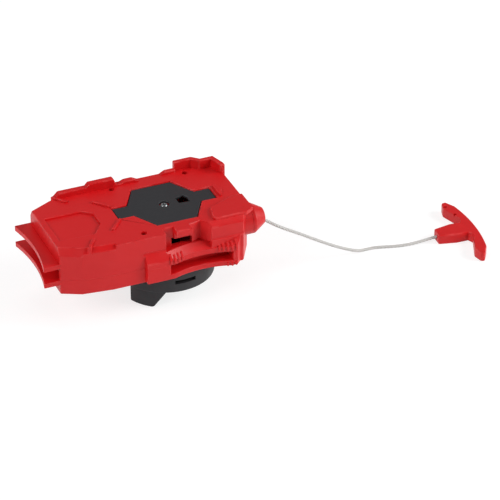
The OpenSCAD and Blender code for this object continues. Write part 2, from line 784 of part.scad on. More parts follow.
module output_pinion() {
  color(gear_dark) difference() {
    slab(gear_points(pinion_teeth), reel_z, gear_top);
    rod([0, 0], shaft_r, reel_z - 1, gear_top + 1);
  }
}

module shaft_screw() {
  color(steel) difference() {
    union() {
      rod([0, 0], 2, shaft_top, shaft_top + 1.3);
      rod([0, 0], shaft_screw_r, shaft_top - 3.6, shaft_top + 0.5);
    }
    for (turn = [0, 90]) translate([0, 0, shaft_top + 1.3]) rotate([0, 0, turn])
      cube([2.4, 0.5, 1.2], center = true);
  }
}

module thrust_washer() {
  color(bronze) sleeve([0, 0], bush_r + 2.5, shaft_r + 0.3, disc_top + 0.05, case_bottom - 0.1);
}

module spinner_disc() {
  color(cover_grey) difference() {
    union() {
      sleeve([0, 0], disc_r, disc_r - disc_wall, disc_bottom, disc_top);
      rod([0, 0], disc_r - disc_wall / 2, disc_top - disc_plate, disc_top);
      rod([0, 0], hub_r, disc_bottom + carrier_t, disc_top);
    }
    rod([0, 0], shaft_r, disc_bottom - 1, disc_top + 1);
    for (i = [0 : window_count - 1]) rotate([0, 0, claw_angle + 51 + i * 360 / window_count])
      block([disc_r - disc_wall - 1, -window_len / 2, disc_bottom + 4.2],
        [disc_r + 1, window_len / 2, disc_bottom + 4.2 + window_h]);
  }
}

claw_h = disc_bottom;
claw_out = disc_r - 1.2;
function arc(centre, r, a0, a1) = [for (i = [0 : 6]) centre + polar(r, a0 + (a1 - a0) * i / 6)];

module claw() {
  flare = atan2(claw_h - 0.4, claw_w - claw_tip_w);
  tip_end = claw_tip_w - claw_back - claw_corner * tan(flare / 2);
  intersection() {
    translate([claw_out - claw_t, 0, 0]) rotate([90, 0, 90]) linear_extrude(claw_t + 1)
      polygon(concat(arc([claw_heel - claw_back, claw_heel], claw_heel, 180, 270),
        arc([tip_end, claw_corner], claw_corner, 270, 270 + flare),
        [[claw_w - claw_back, claw_h - 0.4], [claw_w - claw_back, claw_h + 1], [-claw_back, claw_h + 1]]));
    rod([0, 0], claw_out, 0, claw_h + 1);
  }
}

module claw_carrier() {
  color(cover_grey) difference() {
    union() {
      rod([0, 0], disc_r - disc_wall - 0.1, disc_bottom, disc_bottom + carrier_t);
      intersection() {
        for (turn = [0, 180]) rotate([0, 0, claw_angle + turn]) claw();
        union() {
          rod([0, 0], disc_r, 0, disc_bottom - eps);
          rod([0, 0], disc_r - disc_wall - 0.1, 0, disc_bottom + carrier_t);
        }
      }
    }
    rod([0, 0], screw_r + screw_gap, disc_bottom - 1, disc_bottom + carrier_t + 1);
  }
}

module spinner_screw() {
  color(steel) difference() {
    union() {
      rod([0, 0], screw_head_r + 1, disc_bottom - screw_head_h, disc_bottom);
      rod([0, 0], screw_r, disc_bottom - eps, shaft_bottom + 5);
    }
    for (turn = [0, 90]) translate([0, 0, disc_bottom - screw_head_h]) rotate([0, 0, turn])
      cube([screw_head_r * 1.4, 0.7, 1.6], center = true);
  }
}

module string_drop() {
  route = smooth(drop_route);
  color(string_white) tube(route, [1, 0, 0], meeting, string_r);
}

module string_lay() {
  route = smooth(lay_route);
  color(string_white) tube(route, meeting, [1, 0, 0], string_r);
}

// Handle, drawn with its neck end at the origin and lying along +X
bar_front = neck_len + bar_depth;
wing_tip = 5;
pocket_r = 1.7;
dimple_r = 0.8;
knot_x = 4;
knot_len = 2.6;
knot_r = 1.4;
mid_h = handle_h / 2;

module at_handle() {
  translate([handle_at[0], handle_at[1], 0]) rotate([0, 0, handle_turn]) children();
}

module along_neck(r, x0, x1) {
  translate([x0, 0, mid_h]) rotate([0, 90, 0]) cylinder(h = x1 - x0, r = r);
}

module bar_half() {
  half = bar_len / 2;
  chord = half - wing_tip;
  arc_r = (chord * chord + bar_bow * bar_bow) / (2 * bar_bow);
  intersection() {
    slab([[0, 0], [0, neck_w / 2], [neck_len * 0.58, neck_root_w / 2], [neck_len - 0.4, neck_root_w / 2],
      [neck_len + 0.8, neck_root_w / 2 + 2.5], [neck_len - bar_hook, chord],
      [neck_len - bar_hook + 1.2, half - 0.4], [neck_len - 0.2, half], [bar_front - bar_bow, chord],
      [bar_front + 1, chord], [bar_front + 1, 0]], 0, handle_h);
    translate([bar_front - arc_r, 0, 0]) cylinder(h = handle_h, r = arc_r, $fn = 128);
  }
}

module pull_handle() {
  color(case_red) at_handle() difference() {
    union() {
      bar_half();
      mirror([0, 1, 0]) bar_half();
    }
    along_neck(string_r + string_gap, -1, knot_x + 1);
    along_neck(pocket_r, knot_x, bar_front + 1);
    for (at = [[neck_len, 11.3], [neck_len - 1.6, 19]])
      rod(at, dimple_r, handle_h - 0.8, handle_h + 1);
  }
}

module string_knot() {
  color(string_white) at_handle() translate([knot_x + 0.1, 0, mid_h]) rotate([0, 90, 0]) rotate_extrude()
    polygon([[0, 0], [knot_r - 0.5, 0], [knot_r, 0.6], [knot_r, knot_len - 0.6], [knot_r - 0.5, knot_len],
      [0, knot_len]]);
}

module handle_plug() {
  color(case_red) at_handle() along_neck(pocket_r, knot_x + knot_len + 0.3, bar_front - 0.3);
}

upper_case();
lower_case();
top_cover();
outlet_nozzle();
string_bush();
case_screws();
reel_axle();
string_reel();
reel_cap();
string_winding();
return_spring();
inner_string();
idler_pin();
idler_gear();
upper_bush();
lower_bush();
output_shaft();
output_pinion();
shaft_screw();
thrust_washer();
spinner_disc();
claw_carrier();
spinner_screw();
string_drop();
string_lay();
pull_handle();
string_knot();
handle_plug();
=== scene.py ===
"""Looks of a string-pull launcher for spinning tops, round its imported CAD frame."""

import json
import math

import bmesh
import bpy
from mathutils import Matrix, Vector


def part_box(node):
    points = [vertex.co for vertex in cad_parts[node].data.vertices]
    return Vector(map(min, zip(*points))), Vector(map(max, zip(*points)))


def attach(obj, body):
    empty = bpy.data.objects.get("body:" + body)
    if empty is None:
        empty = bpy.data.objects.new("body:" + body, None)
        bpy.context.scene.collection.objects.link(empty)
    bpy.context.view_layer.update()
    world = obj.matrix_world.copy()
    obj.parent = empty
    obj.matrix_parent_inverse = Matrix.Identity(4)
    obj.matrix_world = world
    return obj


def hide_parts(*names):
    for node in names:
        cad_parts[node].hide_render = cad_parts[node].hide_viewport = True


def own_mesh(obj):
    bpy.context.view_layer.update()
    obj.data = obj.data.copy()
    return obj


bl_info = {
    "name": "String Launcher Looks",
    "version": (1, 0, 0),
    "blender": (4, 5, 0),
    "location": "View3D > Sidebar > Launcher",
    "description": "Dresses the launcher in moulded plastic, plated steel and twisted string",
    "category": "Object",
}

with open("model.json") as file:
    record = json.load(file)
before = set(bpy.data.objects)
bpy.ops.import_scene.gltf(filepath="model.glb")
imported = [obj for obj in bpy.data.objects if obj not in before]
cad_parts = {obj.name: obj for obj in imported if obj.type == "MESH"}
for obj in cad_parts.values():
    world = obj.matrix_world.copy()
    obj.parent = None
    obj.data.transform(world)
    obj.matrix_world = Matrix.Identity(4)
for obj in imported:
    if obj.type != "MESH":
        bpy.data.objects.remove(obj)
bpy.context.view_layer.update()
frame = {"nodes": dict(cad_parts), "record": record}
MM = 0.001


def linear(hex_text):
    """An sRGB hex colour as linear red, green and blue."""
    values = [int(hex_text[i:i + 2], 16) / 255 for i in (1, 3, 5)]
    return [v / 12.92 if v <= 0.04045 else ((v + 0.055) / 1.055) ** 2.4 for v in values]


def size_property(name, description, millimetres):
    """A length that a user may change, given in millimetres."""
    return bpy.props.FloatProperty(
        name=name, description=description, default=millimetres * MM, unit="LENGTH", precision=5)


def colour_property(name, description, hex_text):
    """A colour that a user may change, given as sRGB hex."""
    return bpy.props.FloatVectorProperty(
        name=name, description=description, default=linear(hex_text), subtype="COLOR", min=0, max=1)


class LauncherSizes(bpy.types.PropertyGroup):
    """Sizes of the looks."""

    shell_round: size_property("Shell edge", "Rounding of the red shells' outer edges", 0.55)
    handle_round: size_property("Handle edge", "Rounding of the pull handle's edges", 0.7)
    grey_round: size_property("Grey edge", "Rounding of the grey pieces' edges", 0.35)
    seam_round: size_property("Seam edge", "Rounding of the edges where the shells meet", 0.08)
    screw_slot: size_property("Screw slot", "Width of the screw heads' crossed slots", 0.6)
    string_thick: size_property("String", "Diameter of the pull string", 1.5)
    string_lay: size_property("String lay", "Length of one turn of the string's strands", 5)
    ring_step: size_property("String ring", "Distance between two rings of the string's mesh", 0.4)


class LauncherColours(bpy.types.PropertyGroup):
    """Colours of the looks."""

    shell: colour_property("Shell", "Red ABS of the shells and the handle", "#CB0F13")
    shell_flow: colour_property("Shell flow", "Red ABS where the melt flowed thinner", "#D21519")
    # Paler red painted along the rounded edges as a highlight
    shell_highlight: colour_property("Shell edge", "Red ABS rubbed pale along its edges", "#DE4C4C")
    grey: colour_property("Grey", "Grey ABS of the cover and the spinner", "#2B2B2E")
    # Paler grey painted along the rounded edges as a highlight
    grey_highlight: colour_property("Grey rub", "Grey ABS rubbed pale along its edges", "#505054")
    acetal: colour_property("Acetal", "Black acetal of the gears and the reel", "#1D1D1F")
    zinc: colour_property("Zinc", "Bright zinc plate on steel", "#C6CACC")
    bronze: colour_property("Bronze", "Sintered bronze of the bushes", "#B58A4A")
    nylon: colour_property("Nylon", "Nylon yarn of the string", "#D8D6D3")
    nylon_shade: colour_property("Nylon shade", "Nylon yarn between the strands", "#B9B6B2")


def sizes():
    """The sizes that the panel shows."""
    return bpy.context.scene.launcher_sizes


def colours():
    """The colours that the panel shows."""
    return bpy.context.scene.launcher_colours


def add_node(tree, kind, settings=None, inputs=None):
    """A new node with its own settings, and its inputs set to values or linked to other sockets."""
    node = tree.nodes.new(kind)
    for name, value in (settings or {}).items():
        setattr(node, name, value)
    for key, value in (inputs or {}).items():
        if isinstance(value, bpy.types.NodeSocket):
            tree.links.new(value, node.inputs[key])
        else:
            node.inputs[key].default_value = value
    return node


def new_material(name):
    """An empty material, its tree and its shader, wired to the output."""
    material = bpy.data.materials.new(name)
    material.use_nodes = True
    tree = material.node_tree
    tree.nodes.clear()
    shader = add_node(tree, "ShaderNodeBsdfPrincipled")
    add_node(tree, "ShaderNodeOutputMaterial", None, {"Surface": shader.outputs["BSDF"]})
    return material, tree, shader


def per_metre(millimetres):
    """Scale of a pattern whose cells are that wide."""
    return 1 / (millimetres * MM)


def rgba(colour):
    """A colour as a socket takes it."""
    return (*colour, 1)


# Face attribute that marks the rounded edges, where a pale highlight is painted
EDGE_MARK = "rubbed_edge"
# Sockets of a Mix node that mixes colours
MIX_SHARE, MIX_A, MIX_B, MIX_RESULT = 0, 6, 7, 2
# Most of a noise pattern's values lie between these two
NOISE_LOW, NOISE_HIGH = 0.3, 0.7
# Sizes of the patterns in moulded plastic
FLOW_MM = 16
HIGHLIGHT_AND_GLOSS_PATCH_MM = 5
GRIT_DEPTH_MM = 0.05
# The noise above which an edge gets its painted highlight, and the most that it is painted pale
HIGHLIGHT_FROM, HIGHLIGHT_MOST = 0.45, 0.6
# How far roughness falls and rises in patches
PLASTIC_GLOSSIER, PLASTIC_DULLER = 0.05, 0.06
SATIN_SPECULAR = 0.33


def moulded_plastic(name, base, flow, highlighted, roughness, grit_mm, ior):
    """Injection-moulded plastic: soft flow marks, the mould's fine grit, and a pale highlight painted
    along edges in places.
    """
    material, tree, shader = new_material(name)
    place = add_node(tree, "ShaderNodeTexCoord").outputs["Object"]
    clouds = add_node(tree, "ShaderNodeTexNoise", None, {
        "Vector": place, "Scale": per_metre(FLOW_MM), "Detail": 3.0, "Roughness": 0.55})
    mottle = add_node(tree, "ShaderNodeMix", {"data_type": "RGBA"}, {
        MIX_SHARE: clouds.outputs["Fac"], MIX_A: rgba(base), MIX_B: rgba(flow)})
    # Pale highlight painted on the rounded edges, in patches
    mark = add_node(tree, "ShaderNodeAttribute", {"attribute_name": EDGE_MARK})
    patchy = add_node(tree, "ShaderNodeTexNoise", None, {
        "Vector": place, "Scale": per_metre(HIGHLIGHT_AND_GLOSS_PATCH_MM), "Detail": 2.0})
    highlight_patches = add_node(tree, "ShaderNodeMapRange", None, {
        "Value": patchy.outputs["Fac"], "From Min": HIGHLIGHT_FROM, "From Max": NOISE_HIGH,
        "To Max": HIGHLIGHT_MOST})
    edge_highlight_share = add_node(tree, "ShaderNodeMath", {"operation": "MULTIPLY"}, {
        0: mark.outputs["Fac"], 1: highlight_patches.outputs[0]})
    edged = add_node(tree, "ShaderNodeMix", {"data_type": "RGBA"}, {
        MIX_SHARE: edge_highlight_share.outputs[0], MIX_A: mottle.outputs[MIX_RESULT], MIX_B: rgba(highlighted)})
    satin = add_node(tree, "ShaderNodeMapRange", None, {
        "Value": patchy.outputs["Fac"], "From Min": NOISE_LOW, "From Max": NOISE_HIGH,
        "To Min": roughness - PLASTIC_GLOSSIER, "To Max": roughness + PLASTIC_DULLER})
    # The real grit is under 0.1 mm, and is drawn this coarse so that it shows
    grit = add_node(tree, "ShaderNodeTexNoise", None, {
        "Vector": place, "Scale": per_metre(grit_mm), "Detail": 2.0})
    relief = add_node(tree, "ShaderNodeBump", None, {
        "Strength": 0.12, "Distance": GRIT_DEPTH_MM * MM, "Height": grit.outputs["Fac"]})
    tree.links.new(edged.outputs[MIX_RESULT], shader.inputs["Base Color"])
    tree.links.new(satin.outputs[0], shader.inputs["Roughness"])
    tree.links.new(relief.outputs[0], shader.inputs["Normal"])
    shader.inputs["IOR"].default_value = ior
    shader.inputs["Specular IOR Level"].default_value = SATIN_SPECULAR
    return material


def red_abs():
    """Red ABS from a satin mould: an even deep red with broad soft highlights and a painted pale
    highlight along its edges.
    """
    c = colours()
    return moulded_plastic("Red ABS, satin moulded", c.shell, c.shell_flow, c.shell_highlight,
                           roughness=0.40, grit_mm=0.5, ior=1.53)


def grey_abs():
    """Grey ABS from a spark-eroded mould: nearly black, with a fine matt grain."""
    c = colours()
    # Grey ABS with a paler grey painted along its edges as a highlight
    return moulded_plastic("Grey ABS, spark-eroded mould", c.grey, c.grey, c.grey_highlight,
                           roughness=0.52, grit_mm=0.45, ior=1.53)


def black_acetal():
    """Black acetal, moulded: waxy and dark, with a low even gloss."""
    c = colours()
    return moulded_plastic("Black acetal, moulded", c.acetal, c.acetal, c.acetal,
                           roughness=0.42, grit_mm=0.6, ior=1.48)


GRAIN_DEPTH_MM = 0.02
# How far roughness falls and rises along the grain
METAL_GLOSSIER, METAL_DULLER = 0.08, 0.1


def plated_metal(name, colour, roughness, grain_mm):
    """Metal with a turned or pressed grain that breaks up its gloss."""
    material, tree, shader = new_material(name)
    place = add_node(tree, "ShaderNodeTexCoord").outputs["Object"]
    # The real grain is finer, and is drawn this coarse so that it shows
    grain = add_node(tree, "ShaderNodeTexNoise", None, {
        "Vector": place, "Scale": per_metre(grain_mm), "Detail": 3.0})
    gloss = add_node(tree, "ShaderNodeMapRange", None, {
        "Value": grain.outputs["Fac"], "From Min": NOISE_LOW, "From Max": NOISE_HIGH,
        "To Min": roughness - METAL_GLOSSIER, "To Max": roughness + METAL_DULLER})
    relief = add_node(tree, "ShaderNodeBump", None, {
        "Strength": 0.1, "Distance": GRAIN_DEPTH_MM * MM, "Height": grain.outputs["Fac"]})
    tree.links.new(gloss.outputs[0], shader.inputs["Roughness"])
    tree.links.new(relief.outputs[0], shader.inputs["Normal"])
    shader.inputs["Base Color"].default_value = rgba(colour)
    shader.inputs["Metallic"].default_value = 1.0
    return material


def zinc_steel():
    """Steel under bright zinc: silvery, with soft reflections."""
    return plated_metal("Steel, bright zinc plated", colours().zinc, roughness=0.28, grain_mm=0.4)


def sintered_bronze():
    """Bronze powder pressed and sintered: brown-gold, dull and finely pored."""
    return plated_metal("Bronze, sintered", colours().bronze, roughness=0.48, grain_mm=0.3)


STRING_UV = "strand_map"
# Fibres round the string, and their breaks in one turn of its strands. Forty round a 1.5 mm string are
# 0.12 mm apart, which is coarser than real ones so that they show
FIBRE_SCALE = (40.0, 1.5, 1.0)
FIBRE_DEPTH_MM = 0.05


def nylon_yarn():
    """Nylon yarn, twisted: off-white, soft, with fine fibres that follow its strands."""
    c = colours()
    material, tree, shader = new_material("Nylon yarn, twisted")
    along = add_node(tree, "ShaderNodeUVMap", {"uv_map": STRING_UV})
    stretch = add_node(tree, "ShaderNodeMapping", None, {
        "Vector": along.outputs[0], "Scale": FIBRE_SCALE})
    fibres = add_node(tree, "ShaderNodeTexNoise", None, {
        "Vector": stretch.outputs[0], "Scale": 1.0, "Detail": 3.0})
    tint = add_node(tree, "ShaderNodeMix", {"data_type": "RGBA"}, {
        MIX_SHARE: fibres.outputs["Fac"], MIX_A: rgba(c.nylon_shade), MIX_B: rgba(c.nylon)})
    relief = add_node(tree, "ShaderNodeBump", None, {
        "Strength": 0.4, "Distance": FIBRE_DEPTH_MM * MM, "Height": fibres.outputs["Fac"]})
    tree.links.new(tint.outputs[MIX_RESULT], shader.inputs["Base Color"])
    tree.links.new(relief.outputs[0], shader.inputs["Normal"])
    shader.inputs["Roughness"].default_value = 0.7
    shader.inputs["Sheen Weight"].default_value = 0.3
    return material


FINISHES = {
    "red_shell": red_abs,
    "grey_plastic": grey_abs,
    "gear_plastic": black_acetal,
    "steel": zinc_steel,
    "bronze": sintered_bronze,
    "string": nylon_yarn,
}
made_finishes = {}


def finish_of(slot):
    """The material of one of the record's slots, made once."""
    if slot not in made_finishes:
        made_finishes[slot] = FINISHES[slot]()
    return made_finishes[slot]


SLOT_OF = {part["node"]: part["material_slot"] for part in frame["record"]["subparts"]}
BODY_OF = {
    node: body for body, nodes in frame["record"]["behaviour"]["bodies"].items() for node in nodes}


def new_piece(name, mesh):
    """An object of that mesh in the scene."""
    piece = bpy.data.objects.new(name, mesh)
    bpy.context.scene.collection.objects.link(piece)
    return piece


def stand_for(piece, *nodes):
    """The piece takes the place and the body of these CAD nodes."""
    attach(piece, BODY_OF[nodes[0]])
    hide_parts(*nodes)


def dressed(piece):
    """The piece's mesh with its modifiers applied, and none left on it."""
    graph = bpy.context.evaluated_depsgraph_get()
    mesh = bpy.data.meshes.new_from_object(piece.evaluated_get(graph))
    piece.modifiers.clear()
    old = piece.data
    piece.data = mesh
    bpy.data.meshes.remove(old)
    mesh.name = piece.name
    return mesh


# Points this near to each other are one, and faces this near to one plane are joined
MERGE = 0.004 * MM
COPLANAR = math.radians(0.6)
# Outer edges that bend more than SHARP are rounded, and a bend under FLAT is only the mesh's own
SHARP = math.radians(28)
FLAT = math.radians(3)
# Bends under this are shaded smooth
SMOOTH = math.radians(38)
# Two edges that open wider than this follow on from each other
RUN_ON = math.radians(120)
# Rounding takes at most this share of the face beside it, measured at these places along the edge
ROOM_SHARE = 0.4
ROOM_PLACES = (0.05, 0.5, 0.95)
LEAST_ROOM = 0.001 * MM
# Height at which the shells meet
SEAM_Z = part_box("upper_case")[0].z
SEAM_NEAR = 0.02 * MM
ROUND_STEPS = 2
# A bend over FOLDED has turned back on itself. The edges within reach of one are rounded less in each
# round, and those whose reach is under FOLD_LEAST are left sharp
FOLDED = math.radians(140)
FOLD_ROUNDS = 6
FOLD_REACH = 1.3
FOLD_EASE = 0.6
FOLD_LEAST = 0.06 * MM


def room_beside(edge, face):
    """How far a face reaches in from one of its edges, at the narrowest of three places."""
    loop = next(l for l in face.loops if l.edge == edge)
    along = loop.link_loop_next.vert.co - loop.vert.co
    side = along.normalized()
    inward = face.normal.cross(side)
    narrowest = math.inf
    for share in ROOM_PLACES:
        origin = loop.vert.co + along * share
        for other in face.edges:
            if other == edge or other.calc_face_angle(0) < FLAT:
                continue
            p, q = (v.co - origin for v in other.verts)
            p_side, q_side = p.dot(side), q.dot(side)
            if p_side * q_side > 0 or p_side == q_side:
                continue
            depth = (p + (q - p) * (p_side / (p_side - q_side))).dot(inward)
            if depth > LEAST_ROOM:
                narrowest = min(narrowest, depth)
    return narrowest


def edge_runs(edges):
    """Edges that follow on from each other with no fork and no sharp corner, as lists."""
    runs, taken = [], set()
    for first in edges:
        if first in taken:
            continue
        run = [first]
        taken.add(first)
        for edge in run:
            for vert in edge.verts:
                onward = [e for e in vert.link_edges if e in edges and e != edge]
                if len(onward) != 1 or onward[0] in taken:
                    continue
                back = edge.other_vert(vert).co - vert.co
                if back.angle(onward[0].other_vert(vert).co - vert.co) > RUN_ON:
                    taken.add(onward[0])
                    run.append(onward[0])
        runs.append(run)
    return runs


def fold_places(piece):
    """Where the piece's mesh, with its modifiers, turns back on itself."""
    shaped = piece.evaluated_get(bpy.context.evaluated_depsgraph_get())
    bm = bmesh.new()
    bm.from_mesh(shaped.to_mesh())
    shaped.to_mesh_clear()
    folds = [e for e in bm.edges if e.calc_face_angle(0) > FOLDED]
    places = [(e.verts[0].co + e.verts[1].co) / 2 for e in folds]
    bm.free()
    return places


def near_run(place, run, reach):
    """Whether a place lies within that reach of one of the run's edges."""
    for edge in run:
        a, b = (v.co for v in edge.verts)
        share = (place - a).dot(b - a) / (b - a).length_squared
        if (a.lerp(b, min(1, max(0, share))) - place).length < reach:
            return True
    return False


def rounded_copy(node, name, width):
    """A copy of a CAD node with its outer edges rounded, less where its faces are narrow."""
    bm = bmesh.new()
    bm.from_mesh(frame["nodes"][node].data)
    bmesh.ops.remove_doubles(bm, verts=bm.verts, dist=MERGE)
    bmesh.ops.dissolve_limit(bm, angle_limit=COPLANAR, verts=bm.verts, edges=bm.edges)
    weight = bm.edges.layers.float.new("bevel_weight_edge")
    outer = {e: None for e in bm.edges if e.is_manifold and e.calc_face_angle_signed(0) > SHARP}
    runs = edge_runs(outer)
    for run in runs:
        room = ROOM_SHARE * min(room_beside(e, f) for e in run for f in e.link_faces)
        at_seam = all(abs(v.co.z - SEAM_Z) < SEAM_NEAR for e in run for v in e.verts)
        share = min(sizes().seam_round if at_seam else width, room) / width
        for edge in run:
            edge[weight] = share
    piece = new_piece(name, bpy.data.meshes.new(name))
    # The bevel's faces get the second slot, which mark_edges reads and takes away
    for _ in range(2):
        piece.data.materials.append(finish_of(SLOT_OF[node]))
    bevel = piece.modifiers.new("Rounded edges", "BEVEL")
    bevel.limit_method = "WEIGHT"
    bevel.width = width
    bevel.segments = ROUND_STEPS
    bevel.use_clamp_overlap = False
    bevel.material = 1
    for _ in range(FOLD_ROUNDS):
        bm.to_mesh(piece.data)
        places = fold_places(piece)
        for run in runs:
            reach = FOLD_REACH * width * run[0][weight]
            if any(near_run(place, run, reach) for place in places):
                for edge in run:
                    edge[weight] *= FOLD_EASE if reach > FOLD_LEAST else 0
    bm.free()
    if "custom_normal" in piece.data.attributes:
        piece.data.attributes.remove(piece.data.attributes["custom_normal"])
    piece.data.shade_smooth()
    mark_edges(dressed(piece))
    piece.data.set_sharp_from_angle(angle=SMOOTH)
    weighted = piece.modifiers.new("Flat faces stay flat", "WEIGHTED_NORMAL")
    weighted.keep_sharp = True
    dressed(piece)
    return piece


def mark_edges(mesh):
    """Marks the rounded edges, where the finish paints a pale highlight, and leaves one material."""
    mark = mesh.attributes.new(EDGE_MARK, "FLOAT", "FACE")
    mark.data.foreach_set("value", [float(face.material_index) for face in mesh.polygons])
    mesh.polygons.foreach_set("material_index", [0] * len(mesh.polygons))
    mesh.materials.pop(index=1)


# Pull string: the two stretches of its route, in millimetres
DROP_ROUTE = [
    (31, -14, 33.2), (33, -14, 33.1), (35, -14, 32.8), (37, -14, 32.4), (39, -14, 31.8), (41, -14, 31),
    (43, -14, 29.7), (46, -14.2, 27.5), (50, -14.3, 24.7), (55, -14.3, 21.6), (60, -14.2, 18.5),
    (66, -14, 14.6), (73, -13.6, 10.1), (80, -13.1, 5.9), (86, -12.6, 2.8)]
LAY_ROUTE = [
    (86, -12.6, 2.8), (90, -12, 1.2), (94, -11.7, 0.8), (98, -11.9, 0.8), (103, -13.3, 0.8),
    (109, -14.9, 0.8), (115, -15.9, 1.1), (120, -16.4, 1.7), (124, -16.8, 2.3), (126.5, -17, 2.5),
    (130.2, -17.2, 2.5)]
# Points drawn between each two of the route's points
ROUTE_STEPS = 6


def smooth_route(points):
    """Points in metres along a smooth curve through the route's points in millimetres."""
    p = [Vector(point) * MM for point in points]
    p = [2 * p[0] - p[1], *p, 2 * p[-1] - p[-2]]
    route = []
    for a, b, c, d in zip(p, p[1:], p[2:], p[3:]):
        for k in range(ROUTE_STEPS):
            t = k / ROUTE_STEPS
            route.append(0.5 * (2 * b + (c - a) * t + (2 * a - 5 * b + 4 * c - d) * t * t
                                + (3 * b - a - 3 * c + d) * t ** 3))
    return [*route, p[-2]]


def new_tree(name, sockets):
    """A geometry node tree with a geometry in, named inputs, and a geometry out."""
    tree = bpy.data.node_groups.new(name, "GeometryNodeTree")
    tree.interface.new_socket("Geometry", in_out="INPUT", socket_type="NodeSocketGeometry")
    for socket, kind in sockets.items():
        tree.interface.new_socket(socket, in_out="INPUT", socket_type=kind)
    tree.interface.new_socket("Geometry", in_out="OUTPUT", socket_type="NodeSocketGeometry")
    return tree, tree.nodes.new("NodeGroupInput").outputs


def grow(piece, tree, values):
    """Runs a geometry node tree on the piece with these inputs, and keeps the plain mesh."""
    modifier = piece.modifiers.new(tree.name, "NODES")
    modifier.node_group = tree
    for item in tree.interface.items_tree:
        if item.in_out == "INPUT" and item.name in values:
            modifier[item.identifier] = values[item.name]
    return dressed(piece)


STRING_TREE = "Twisted string"
STRANDS = 3
# Radius in the valley between two strands, as a share of the string's own
STRAND_VALLEY = 0.74
RING_POINTS = 24


def string_tree():
    """Geometry nodes that wind three strands along a line of edges."""
    tree, given = new_tree(STRING_TREE, {
        "Radius": "NodeSocketFloat", "Lay": "NodeSocketFloat", "Ring step": "NodeSocketFloat",
        "Material": "NodeSocketMaterial"})
    line = add_node(tree, "GeometryNodeMeshToCurve", None, {"Mesh": given["Geometry"]})
    even = add_node(tree, "GeometryNodeResampleCurve", {"mode": "LENGTH"}, {
        "Curve": line.outputs[0], "Length": given["Ring step"]})
    gone = add_node(tree, "GeometryNodeSplineParameter").outputs["Length"]
    turns = add_node(tree, "ShaderNodeMath", {"operation": "DIVIDE"}, {0: gone, 1: given["Lay"]})
    angle = add_node(tree, "ShaderNodeMath", {"operation": "MULTIPLY"}, {
        0: turns.outputs[0], 1: math.tau})
    wound = add_node(tree, "GeometryNodeSetCurveTilt", None, {
        "Curve": even.outputs[0], "Tilt": angle.outputs[0]})
    kept = add_node(tree, "GeometryNodeCaptureAttribute", None, {"Geometry": wound.outputs[0]})
    kept.capture_items.new("FLOAT", "Turns")
    tree.links.new(turns.outputs[0], kept.inputs["Turns"])
    ring = add_node(tree, "GeometryNodeCurvePrimitiveCircle", None, {
        "Resolution": RING_POINTS, "Radius": given["Radius"]})
    across = add_node(tree, "GeometryNodeSplineParameter").outputs["Factor"]
    phase = add_node(tree, "ShaderNodeMath", {"operation": "MULTIPLY"}, {
        0: across, 1: STRANDS / 2 * math.tau})
    wave = add_node(tree, "ShaderNodeMath", {"operation": "SINE"}, {0: phase.outputs[0]})
    bulge = add_node(tree, "ShaderNodeMath", {"operation": "ABSOLUTE"}, {0: wave.outputs[0]})
    share = add_node(tree, "ShaderNodeMapRange", None, {
        "Value": bulge.outputs[0], "To Min": STRAND_VALLEY, "To Max": 1.0})
    here = add_node(tree, "GeometryNodeInputPosition")
    drawn = add_node(tree, "ShaderNodeVectorMath", {"operation": "SCALE"}, {
        0: here.outputs[0], "Scale": share.outputs[0]})
    lobes = add_node(tree, "GeometryNodeSetPosition", None, {
        "Geometry": ring.outputs[0], "Position": drawn.outputs[0]})
    strand = add_node(tree, "GeometryNodeCaptureAttribute", None, {"Geometry": lobes.outputs[0]})
    strand.capture_items.new("FLOAT", "Across")
    tree.links.new(across, strand.inputs["Across"])
    tube = add_node(tree, "GeometryNodeCurveToMesh", None, {
        "Curve": kept.outputs[0], "Profile Curve": strand.outputs[0], "Fill Caps": True})
    flat = add_node(tree, "ShaderNodeCombineXYZ", None, {
        "X": strand.outputs["Across"], "Y": kept.outputs["Turns"]})
    mapped = add_node(tree, "GeometryNodeStoreNamedAttribute", {
        "data_type": "FLOAT2", "domain": "CORNER"}, {
        "Geometry": tube.outputs[0], "Name": STRING_UV, "Value": flat.outputs[0]})
    real = add_node(tree, "GeometryNodeRealizeInstances", None, {"Geometry": mapped.outputs[0]})
    done = add_node(tree, "GeometryNodeSetMaterial", None, {
        "Geometry": real.outputs[0], "Material": given["Material"]})
    add_node(tree, "NodeGroupOutput", None, {0: done.outputs[0]})
    return tree


def string_along(name, route, share=1.0):
    """A twisted string along a route, at a share of the pull string's thickness."""
    tree = bpy.data.node_groups.get(STRING_TREE) or string_tree()
    mesh = bpy.data.meshes.new(name)
    mesh.from_pydata(route, [(i, i + 1) for i in range(len(route) - 1)], [])
    piece = new_piece(name, mesh)
    mesh = grow(piece, tree, {
        "Radius": sizes().string_thick / 2 * share, "Lay": sizes().string_lay * share,
        "Ring step": sizes().ring_step * share, "Material": finish_of("string")})
    mesh.shade_smooth()
    return piece


COIL_STEPS = 32


def coil_route(middle, along, radius, turns, step):
    """Points round a coil about a middle, which gains one step along its axis at each turn."""
    axis = along.normalized()
    across = axis.orthogonal().normalized()
    over = axis.cross(across)
    count = round(turns * COIL_STEPS)
    route = []
    for i in range(count + 1):
        angle = math.tau * i / COIL_STEPS
        gone = (i / COIL_STEPS - turns / 2) * step
        route.append(middle + axis * gone + (across * math.cos(angle) + over * math.sin(angle)) * radius)
    return route


class LAUNCHER_OT_pull_string(bpy.types.Operator):
    """Winds the pull string from the nozzle to the handle"""

    bl_idname = "launcher.pull_string"
    bl_label = "Pull String"

    def execute(self, context):
        drop_route, lay_route = smooth_route(DROP_ROUTE), smooth_route(LAY_ROUTE)
        drop = string_along("drawn_string_drop", drop_route)
        lay = string_along("drawn_string_lay", lay_route)
        stand_for(drop, "string_drop")
        stand_for(lay, "string_lay")
        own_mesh(drop)
        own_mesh(lay)
        return {"FINISHED"}


# The knot is tied of string drawn down to this share, and turns lie this many thicknesses apart
KNOT_SHARE = 0.6
TURN_ROOM = 1.03


